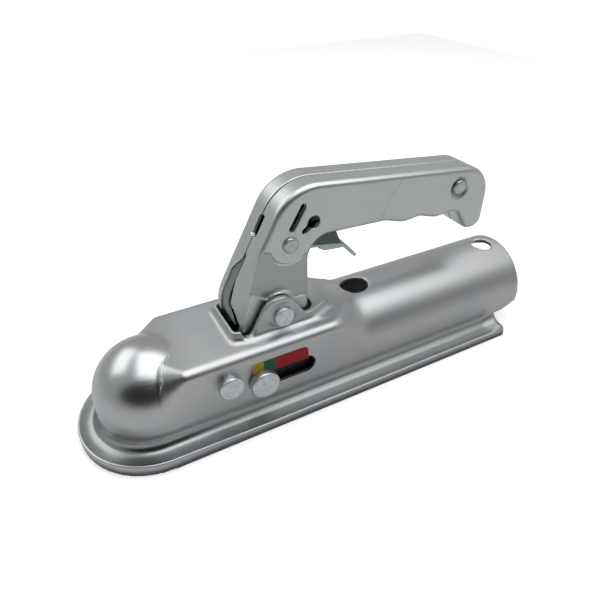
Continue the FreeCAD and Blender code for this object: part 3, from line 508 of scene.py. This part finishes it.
leverMarksAndPaintedLight = {
    "flatFacing": 0.8,
    # painted shade: the recessed panel is darker than the rest of the lever's side
    "recessDepth": (0.0123, 0.0119),
    "recessEnd": 0.105,
    "recessShadeTone": (0.39, 0.415, 0.42, 1.0),
    "recessRough": 0.06,
    # dark seam between the shells, fainter to the rear, and painted shade on their inside faces
    "seamWidth": (0.00042, 0.00021),
    "seamFade": (0.150, 0.090, 0.25, 1.0),
    "innerFace": (0.0092, 0.0101),
    "seamAndInsideShadeTone": (0.012, 0.013, 0.013, 1.0),
    "lands": (
        # painted highlight: the bright arc below the front rivet's land and the one above the pivot's: x, z,
        # side
        (0.0799, 0.0708, -1.0),
        (0.0720, 0.0336, 1.0),
    ),
    "landReach": (0.0104, 0.0114, 0.0122),
    "landHeight": (0.0076, 0.0100),
    "landFacing": 0.3,
    "landStrength": 0.9,
    "landHighlightTone": (0.92, 0.93, 0.93, 1.0),
    # painted highlight on the cut front edge of the far half
    "cutFacing": -0.45,
    "cutSpan": (0.0012, 0.0092),
    "cutHighlightTone": (0.95, 0.96, 0.96, 1.0),
    # painted shade in the dimple round the rear rivet
    "rearRivet": (0.1874, 0.0783),
    "ringReach": (0.0060, 0.0048),
    "ringStrength": 0.65,
    "ringShadeTone": (0.12, 0.125, 0.125, 1.0),
    # faint smear on the near side
    "smearFrom": (0.128, 0.066),
    "smearTo": (0.150, 0.098),
    "smearWidth": 0.0014,
    "smearFade": 0.012,
    "smearStrength": 0.22,
    "smearTone": (0.25, 0.25, 0.24, 1.0),
    "driftScale": 70.0,
    "driftDetail": 3.0,
    "driftReach": 0.012,
}


def addReach(tree, axes, x, z):
    # Distance from an axis along Y, and the height over it.
    above = addMath(tree, "SUBTRACT", axes["Z"], z)
    squares = addSquares(tree, addMath(tree, "SUBTRACT", axes["X"], x), above)
    return addMath(tree, "SQRT", squares), above


def addSmear(tree, place, axes, outward):
    marks = leverMarksAndPaintedLight
    (lowX, lowZ), (highX, highZ) = marks["smearFrom"], marks["smearTo"]
    run = Vector((highX - lowX, 0.0, highZ - lowZ)).normalized()
    beside = addDot(tree, place, (run.z, 0.0, -run.x))
    wander = addNoise(tree, place, marks["driftScale"], marks["driftDetail"])
    drift = addMath(tree, "MULTIPLY_ADD", wander, marks["driftReach"], beside)
    offset = run.z * lowX - run.x * lowZ + marks["driftReach"] / 2
    away = addMath(tree, "ABSOLUTE", addMath(tree, "SUBTRACT", drift, offset))
    return multiplyAll(tree, addRamp(tree, away, marks["smearWidth"], 0.0, soft=True),
                       addRamp(tree, axes["Z"], highZ, highZ - marks["smearFade"]),
                       addMath(tree, "LESS_THAN", axes["Y"], 0.0), outward, marks["smearStrength"])


def makeLeverMarksAndPaintedLight(material):
    # Marks on the lever's zinc: a dark seam and a faint smear, with painted shade in the recess, on the
    # inside faces and round the rear rivet, and painted highlights on the lands' arcs and the far half's cut
    # edge.
    tree, surface, effect, place, axes = openSurface(material)
    marks = leverMarksAndPaintedLight
    across = addMath(tree, "ABSOLUTE", axes["Y"])
    sideways = addSideFacing(tree)
    facing = addMath(tree, "ABSOLUTE", sideways)
    outward = addMath(tree, "GREATER_THAN", facing, marks["flatFacing"])

    # Painted shade darkens the recessed panel.
    recess = multiplyAll(tree, addRamp(tree, across, *marks["recessDepth"]), outward,
                         addMath(tree, "LESS_THAN", axes["X"], marks["recessEnd"]))
    colour = addMix(tree, recess, effect.outputs["Colour"], marks["recessShadeTone"])

    # The seam is a dark joint; the shells' inside faces get painted shade.
    seam = multiplyAll(tree, addRamp(tree, across, *marks["seamWidth"]),
                       addRamp(tree, axes["X"], *marks["seamFade"]))
    inside = multiplyAll(tree, addBand(tree, across, *marks["innerFace"]), outward)
    colour = addMix(tree, addMath(tree, "MAXIMUM", seam, inside), colour, marks["seamAndInsideShadeTone"])

    nearest, middle, farthest = marks["landReach"]
    # Painted highlights on the arcs round the lands.
    for x, z, side in marks["lands"]:
        away, above = addReach(tree, axes, x, z)
        beyond = addRamp(tree, addMath(tree, "MULTIPLY", above, side), *marks["landHeight"])
        arc = multiplyAll(tree, addRamp(tree, away, nearest, middle, soft=True),
                          addRamp(tree, away, farthest, middle, soft=True), beyond,
                          addMath(tree, "GREATER_THAN", facing, marks["landFacing"]), marks["landStrength"])
        colour = addMix(tree, arc, colour, marks["landHighlightTone"])

    # Painted highlight on the far half's cut front edge.
    cut = multiplyAll(tree, addMath(tree, "LESS_THAN", sideways, marks["cutFacing"]),
                      addBand(tree, axes["Y"], *marks["cutSpan"]))
    colour = addMix(tree, cut, colour, marks["cutHighlightTone"])

    # Painted shade in the dimple round the rear rivet.
    away = addReach(tree, axes, *marks["rearRivet"])[0]
    ring = multiplyAll(tree, addRamp(tree, away, *marks["ringReach"], soft=True), outward,
                       marks["ringStrength"])
    colour = addMix(tree, ring, colour, marks["ringShadeTone"])

    colour = addMix(tree, addSmear(tree, place, axes, outward), colour, marks["smearTone"])
    feed(tree, surface.inputs["Base Color"], colour)
    rough = addMath(tree, "MULTIPLY_ADD", recess, marks["recessRough"], effect.outputs["Roughness"])
    feed(tree, surface.inputs["Roughness"], rough)


catchShade = {
    "stripFrom": (0.1003, 0.0625),
    "stripSlope": -0.185,
    "stripEdge": (0.0001, 0.0006),
    "tongueFrom": 0.1128,
    # painted shade on the catch's cheeks
    "cheekShadeTone": (0.085, 0.105, 0.10, 1.0),
}


def makeCatchShade(material):
    # Painted shade darkens the catch's cheeks under the lever, and its strip keeps the brighter plain tone.
    tree, surface, effect, place, axes = openSurface(material)
    startX, startZ = catchShade["stripFrom"]
    slope = catchShade["stripSlope"]
    line = addMath(tree, "MULTIPLY_ADD", axes["X"], slope, startZ - startX * slope)
    over = addMath(tree, "SUBTRACT", axes["Z"], line)
    cheek = multiplyAll(tree, addRamp(tree, over, *catchShade["stripEdge"]),
                        addMath(tree, "LESS_THAN", axes["X"], catchShade["tongueFrom"]))
    colour = addMix(tree, cheek, effect.outputs["Colour"], catchShade["cheekShadeTone"])
    feed(tree, surface.inputs["Base Color"], colour)


zincGroup = makeZincGroup()
finishes = {name: makeZinc(name) for name in zincLooks}
finishes.update((name, makePlastic(name)) for name in plasticLooks)
finishes["indicatorPrint"] = makeIndicatorPrint()
makeLeverMarksAndPaintedLight(finishes["handleSteel"])
makeCatchShade(finishes["triggerSteel"])
makePressingMarksAndShade(finishes["housingSteel"])

nodeFinish = {
    "housing": "housingSteel", "spring_seat": "housingSteel",
    "handle_near_shell": "handleSteel", "handle_far_shell": "handleSteel",
    "pivot_sleeve": "handleSteel", "rear_spacer": "handleSteel",
    "pivot_pin": "pinSteel", "front_rivet": "rivetSteel", "rear_rivet": "rivetSteel",
    "jaw_pin": "pinSteel", "lock_pin": "pinSteel", "jaw_pin_ring": "pinSteel",
    "lock_pin_washer": "pinSteel", "lock_pin_clip": "springSteel", "spring_guide": "pinSteel",
    "trigger": "triggerSteel", "trigger_spring": "springSteel", "jaw_spring": "springSteel",
    "main_spring": "springSteel", "ball_jaw": "castSteel", "thrust_block": "castSteel",
    "slot_cover_near": "blackGuide", "slot_cover_far": "blackGuide",
    "pivot_washer_near": "washerPlastic", "pivot_washer_far": "washerPlastic",
    "indicator_strip": "indicatorPrint",
}

for nodeName, node in nodes.items():
    node.data.materials.clear()
    node.data.materials.append(finishes[nodeFinish[nodeName]])
print("finishes placed on", len(nodeFinish), "nodes")


# Pieces

def applyModifier(piece, name):
    bpy.context.view_layer.objects.active = piece
    bpy.ops.object.modifier_apply(modifier=name)


def copyNode(nodeName, pieceName):
    # A copy of a solid with its doubled points merged.
    bpy.ops.object.select_all(action="DESELECT")
    piece = bpy.data.objects.new(pieceName, nodes[nodeName].data.copy())
    scene.collection.objects.link(piece)
    piece.select_set(True)
    bpy.context.view_layer.objects.active = piece
    bpy.ops.object.mode_set(mode="EDIT")
    bpy.ops.mesh.select_all(action="SELECT")
    bpy.ops.mesh.remove_doubles(threshold=0.000003)
    bpy.ops.object.mode_set(mode="OBJECT")
    return piece


def bevelEdges(piece, width):
    edge = piece.modifiers.new("edge", "BEVEL")
    edge.width = width
    edge.segments = 2
    edge.angle_limit = math.radians(50.0)
    applyModifier(piece, "edge")
    bpy.ops.object.shade_smooth_by_angle(angle=math.radians(40.0))


rimPressing = {
    # section of the flange from the wall to the rim: distance out and height
    "solid": (
        (0.0285, -0.0040), (0.0285, -0.0070), (0.0289, -0.0108), (0.0302, -0.0131),
        (0.0319, -0.0145), (0.0336, -0.0152), (0.0350, -0.0155), (0.0362, -0.0155),
        (0.0375, -0.0157), (0.0386, -0.0164), (0.0392, -0.0170), (0.0397, -0.0178),
        (0.0400, -0.0189), (0.0400, -0.0202), (0.0400, -0.0222),
    ),
    "side": (
        (0.0285, -0.0040), (0.0285, -0.0085), (0.0287, -0.0122), (0.0296, -0.0145),
        (0.0312, -0.0160), (0.0328, -0.01675), (0.0342, -0.01695), (0.0356, -0.0170),
        (0.0374, -0.01695), (0.0390, -0.0169), (0.0396, -0.01695), (0.0400, -0.01735),
        (0.0400, -0.0182), (0.0400, -0.0196), (0.0400, -0.0222),
    ),
    "front": (
        (0.0285, -0.0040), (0.0285, -0.0070), (0.0287, -0.0106), (0.0294, -0.0131),
        (0.0306, -0.0149), (0.0320, -0.0158), (0.0332, -0.0161), (0.0346, -0.0161),
        (0.0372, -0.0158), (0.0391, -0.0154), (0.0397, -0.0155), (0.0400, -0.0160),
        (0.0400, -0.0168), (0.0400, -0.0185), (0.0400, -0.0222),
    ),
    # where along X the side's section takes over from the front's
    "sideAlong": (-0.005, 0.020, 0.055),
    "sideShare": (0.0, 0.35, 1.0),
    "fadeFrom": 0.211,
    "fadeTo": 0.219,
    "reach": 0.0007,
    "outFrom": 0.0278,
    "highest": -0.0030,
    "lowest": -0.0235,
    "steps": 12,
    "batch": 4000,
}


def smoothSection(knots, steps):
    # Points of a smooth line through the knots.
    knots = numpy.array(knots)
    padded = numpy.vstack([2 * knots[0] - knots[1], knots, 2 * knots[-1] - knots[-2]])
    share = numpy.linspace(0.0, 1.0, steps, endpoint=False)[:, None]
    spans = []
    for index in range(len(knots) - 1):
        before, start, end, after = padded[index:index + 4]
        spans.append(0.5 * (2 * start + (end - before) * share
                            + (2 * before - 5 * start + 4 * end - after) * share ** 2
                            + (3 * start - before - 3 * end + after) * share ** 3))
    return numpy.vstack(spans + [knots[-1:]])


def pressRim(piece):
    # The flange's outer face goes a little lower and its rim gets a crisp corner, as pressed sheet has.
    press = rimPressing
    solid, side, front = (smoothSection(press[name], press["steps"]) for name in ("solid", "side", "front"))
    places = numpy.empty(len(piece.data.vertices) * 3)
    piece.data.vertices.foreach_get("co", places)
    places = places.reshape(-1, 3)
    height = places[:, 2]
    out = numpy.hypot(numpy.minimum(places[:, 0], 0.0), places[:, 1])
    near = numpy.where((out > press["outFrom"]) & (height < press["highest"]) & (height > press["lowest"]))[0]
    for chunk in numpy.array_split(near, max(1, len(near) // press["batch"])):
        spots = numpy.stack([out[chunk], places[chunk, 2]], axis=1)
        gaps = numpy.linalg.norm(spots[:, None, :] - solid[None, :, :], axis=2)
        match = gaps.argmin(axis=1)
        x = places[chunk, 0]
        share = numpy.interp(x, press["sideAlong"], press["sideShare"])[:, None]
        move = front[match] * (1 - share) + side[match] * share - solid[match]
        keep = numpy.clip((press["fadeTo"] - x) / (press["fadeTo"] - press["fadeFrom"]), 0, 1)
        keep = keep * numpy.clip((press["reach"] * 2 - gaps.min(axis=1)) / press["reach"], 0, 1)
        move = move * keep[:, None]
        stretch = 1 + move[:, 0] / spots[:, 0]
        places[chunk, 0] = numpy.where(x < 0.0, x * stretch, x)
        places[chunk, 1] *= stretch
        places[chunk, 2] += move[:, 1]
    piece.data.vertices.foreach_set("co", places.ravel())
    piece.data.update()


sheetPieces = {
    # node: piece name, body, grid, rounds of easing, most triangles
    "housing": ("pressedHousing", "housing", 0.0008, 4, 190000),
    "handle_near_shell": ("nearShellPressing", "handle", 0.0005, 3, 120000),
    "handle_far_shell": ("farShellPressing", "handle", 0.0005, 3, 120000),
}


def easeSheet(nodeName, pieceName, body, grid, rounds, most):
    # Sheet metal has no sharp corner, so a copy of the solid is evened out and its corners are eased.
    piece = copyNode(nodeName, pieceName)
    even = piece.modifiers.new("even", "REMESH")
    even.mode = "VOXEL"
    even.voxel_size = grid
    applyModifier(piece, "even")
    ease = piece.modifiers.new("ease", "SMOOTH")
    ease.factor = 0.5
    ease.iterations = rounds
    applyModifier(piece, "ease")
    if nodeName == "housing":
        pressRim(piece)
    triangles = 2 * len(piece.data.polygons)
    if triangles > most:
        thin = piece.modifiers.new("thin", "DECIMATE")
        thin.ratio = most / triangles
        applyModifier(piece, "thin")
    bpy.ops.object.shade_smooth()
    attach(piece, body)
    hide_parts(nodeName)
    print(pieceName, "has", len(piece.data.polygons), "faces from", triangles)


for nodeName, settings in sheetPieces.items():
    easeSheet(nodeName, *settings)


foldedFlange = {
    # the far half's front flange, seen beside the near half's: height, near edge, far edge
    "rows": (
        (0.0642, 0.0003, 0.0006), (0.0610, 0.0003, 0.0026), (0.0570, 0.0003, 0.0054),
        (0.0532, 0.0002, 0.0077), (0.0490, 0.0001, 0.0077), (0.0450, -0.0002, 0.0077),
        (0.0420, -0.0007, 0.0077), (0.0395, -0.0014, 0.0077), (0.0370, -0.0032, 0.0077),
        (0.0345, -0.0052, 0.0077), (0.0320, -0.0071, 0.0077), (0.0298, -0.0088, 0.0077),
    ),
    "frontFoot": (0.0442, 0.0358),
    "frontSlope": 0.551,
    "noseMiddle": (0.07206, 0.03372),
    "noseRadius": 0.0254,
    "noseTop": 0.0460,
    "setBack": 0.0012,
    "wall": 0.0012,
    "edge": 0.00025,
}


def flangePoint(height, depth):
    # A point of the lever's front outline, moved inwards by a depth.
    footX, footZ = foldedFlange["frontFoot"]
    slope = foldedFlange["frontSlope"]
    if height > foldedFlange["noseTop"]:
        inward = Vector((1.0, 0.0, -slope)).normalized()
        return Vector((footX + (height - footZ) * slope, 0.0, height)) + inward * depth
    middleX, middleZ = foldedFlange["noseMiddle"]
    turn = math.asin((height - middleZ) / foldedFlange["noseRadius"])
    radius = foldedFlange["noseRadius"] - depth
    return Vector((middleX - math.cos(turn) * radius, 0.0, middleZ + math.sin(turn) * radius))


def makeFoldedFlange():
    # A grid is laid row by row along the lever's front and over its nose, then given its thickness.
    bpy.ops.object.select_all(action="DESELECT")
    rows = foldedFlange["rows"]
    bpy.ops.mesh.primitive_grid_add(x_subdivisions=1, y_subdivisions=len(rows) - 1, size=0.02)
    piece = bpy.context.object
    piece.name = "farFrontFlange"
    ordered = sorted(piece.data.vertices, key=lambda v: (round(-v.co.y, 5), v.co.x))
    for index, vertex in enumerate(ordered):
        height, nearEdge, farEdge = rows[index // 2]
        vertex.co = flangePoint(height, foldedFlange["setBack"])
        vertex.co.y = farEdge if index % 2 else nearEdge
    bpy.ops.object.mode_set(mode="EDIT")
    bpy.ops.mesh.select_all(action="SELECT")
    bpy.ops.mesh.normals_make_consistent(inside=False)
    bpy.ops.object.mode_set(mode="OBJECT")
    if piece.data.polygons[0].normal.x > 0.0:
        piece.data.flip_normals()
    wall = piece.modifiers.new("wall", "SOLIDIFY")
    wall.thickness = foldedFlange["wall"]
    wall.offset = -1.0
    applyModifier(piece, "wall")
    bevelEdges(piece, foldedFlange["edge"])
    # darker zinc: painted shade inside the lever's front
    piece.data.materials.append(finishes["shadedFlangeSteel"])
    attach(piece, "handle")
    print("farFrontFlange has", len(piece.data.polygons), "faces")


makeFoldedFlange()


slotCover = {
    # the near cover reaches a little further back and down, so that no light shows past it
    "frontTo": 0.0475,
    "rearFrom": 0.0830,
    "rearReach": 0.0014,
    "lowFrom": 0.0010,
    "lowReach": 0.0010,
    "edge": 0.0002,
}


def makeSlotCover():
    piece = copyNode("slot_cover_near", "nearSlotCover")
    for vertex in piece.data.vertices:
        place = vertex.co
        corner = place.x < slotCover["frontTo"] or place.x > slotCover["rearFrom"]
        if corner and place.z < slotCover["lowFrom"]:
            place.z -= slotCover["lowReach"]
        if place.x > slotCover["rearFrom"]:
            place.x += slotCover["rearReach"]
    bevelEdges(piece, slotCover["edge"])
    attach(piece, "lock")
    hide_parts("slot_cover_near")
    print("nearSlotCover has", len(piece.data.polygons), "faces")


makeSlotCover()
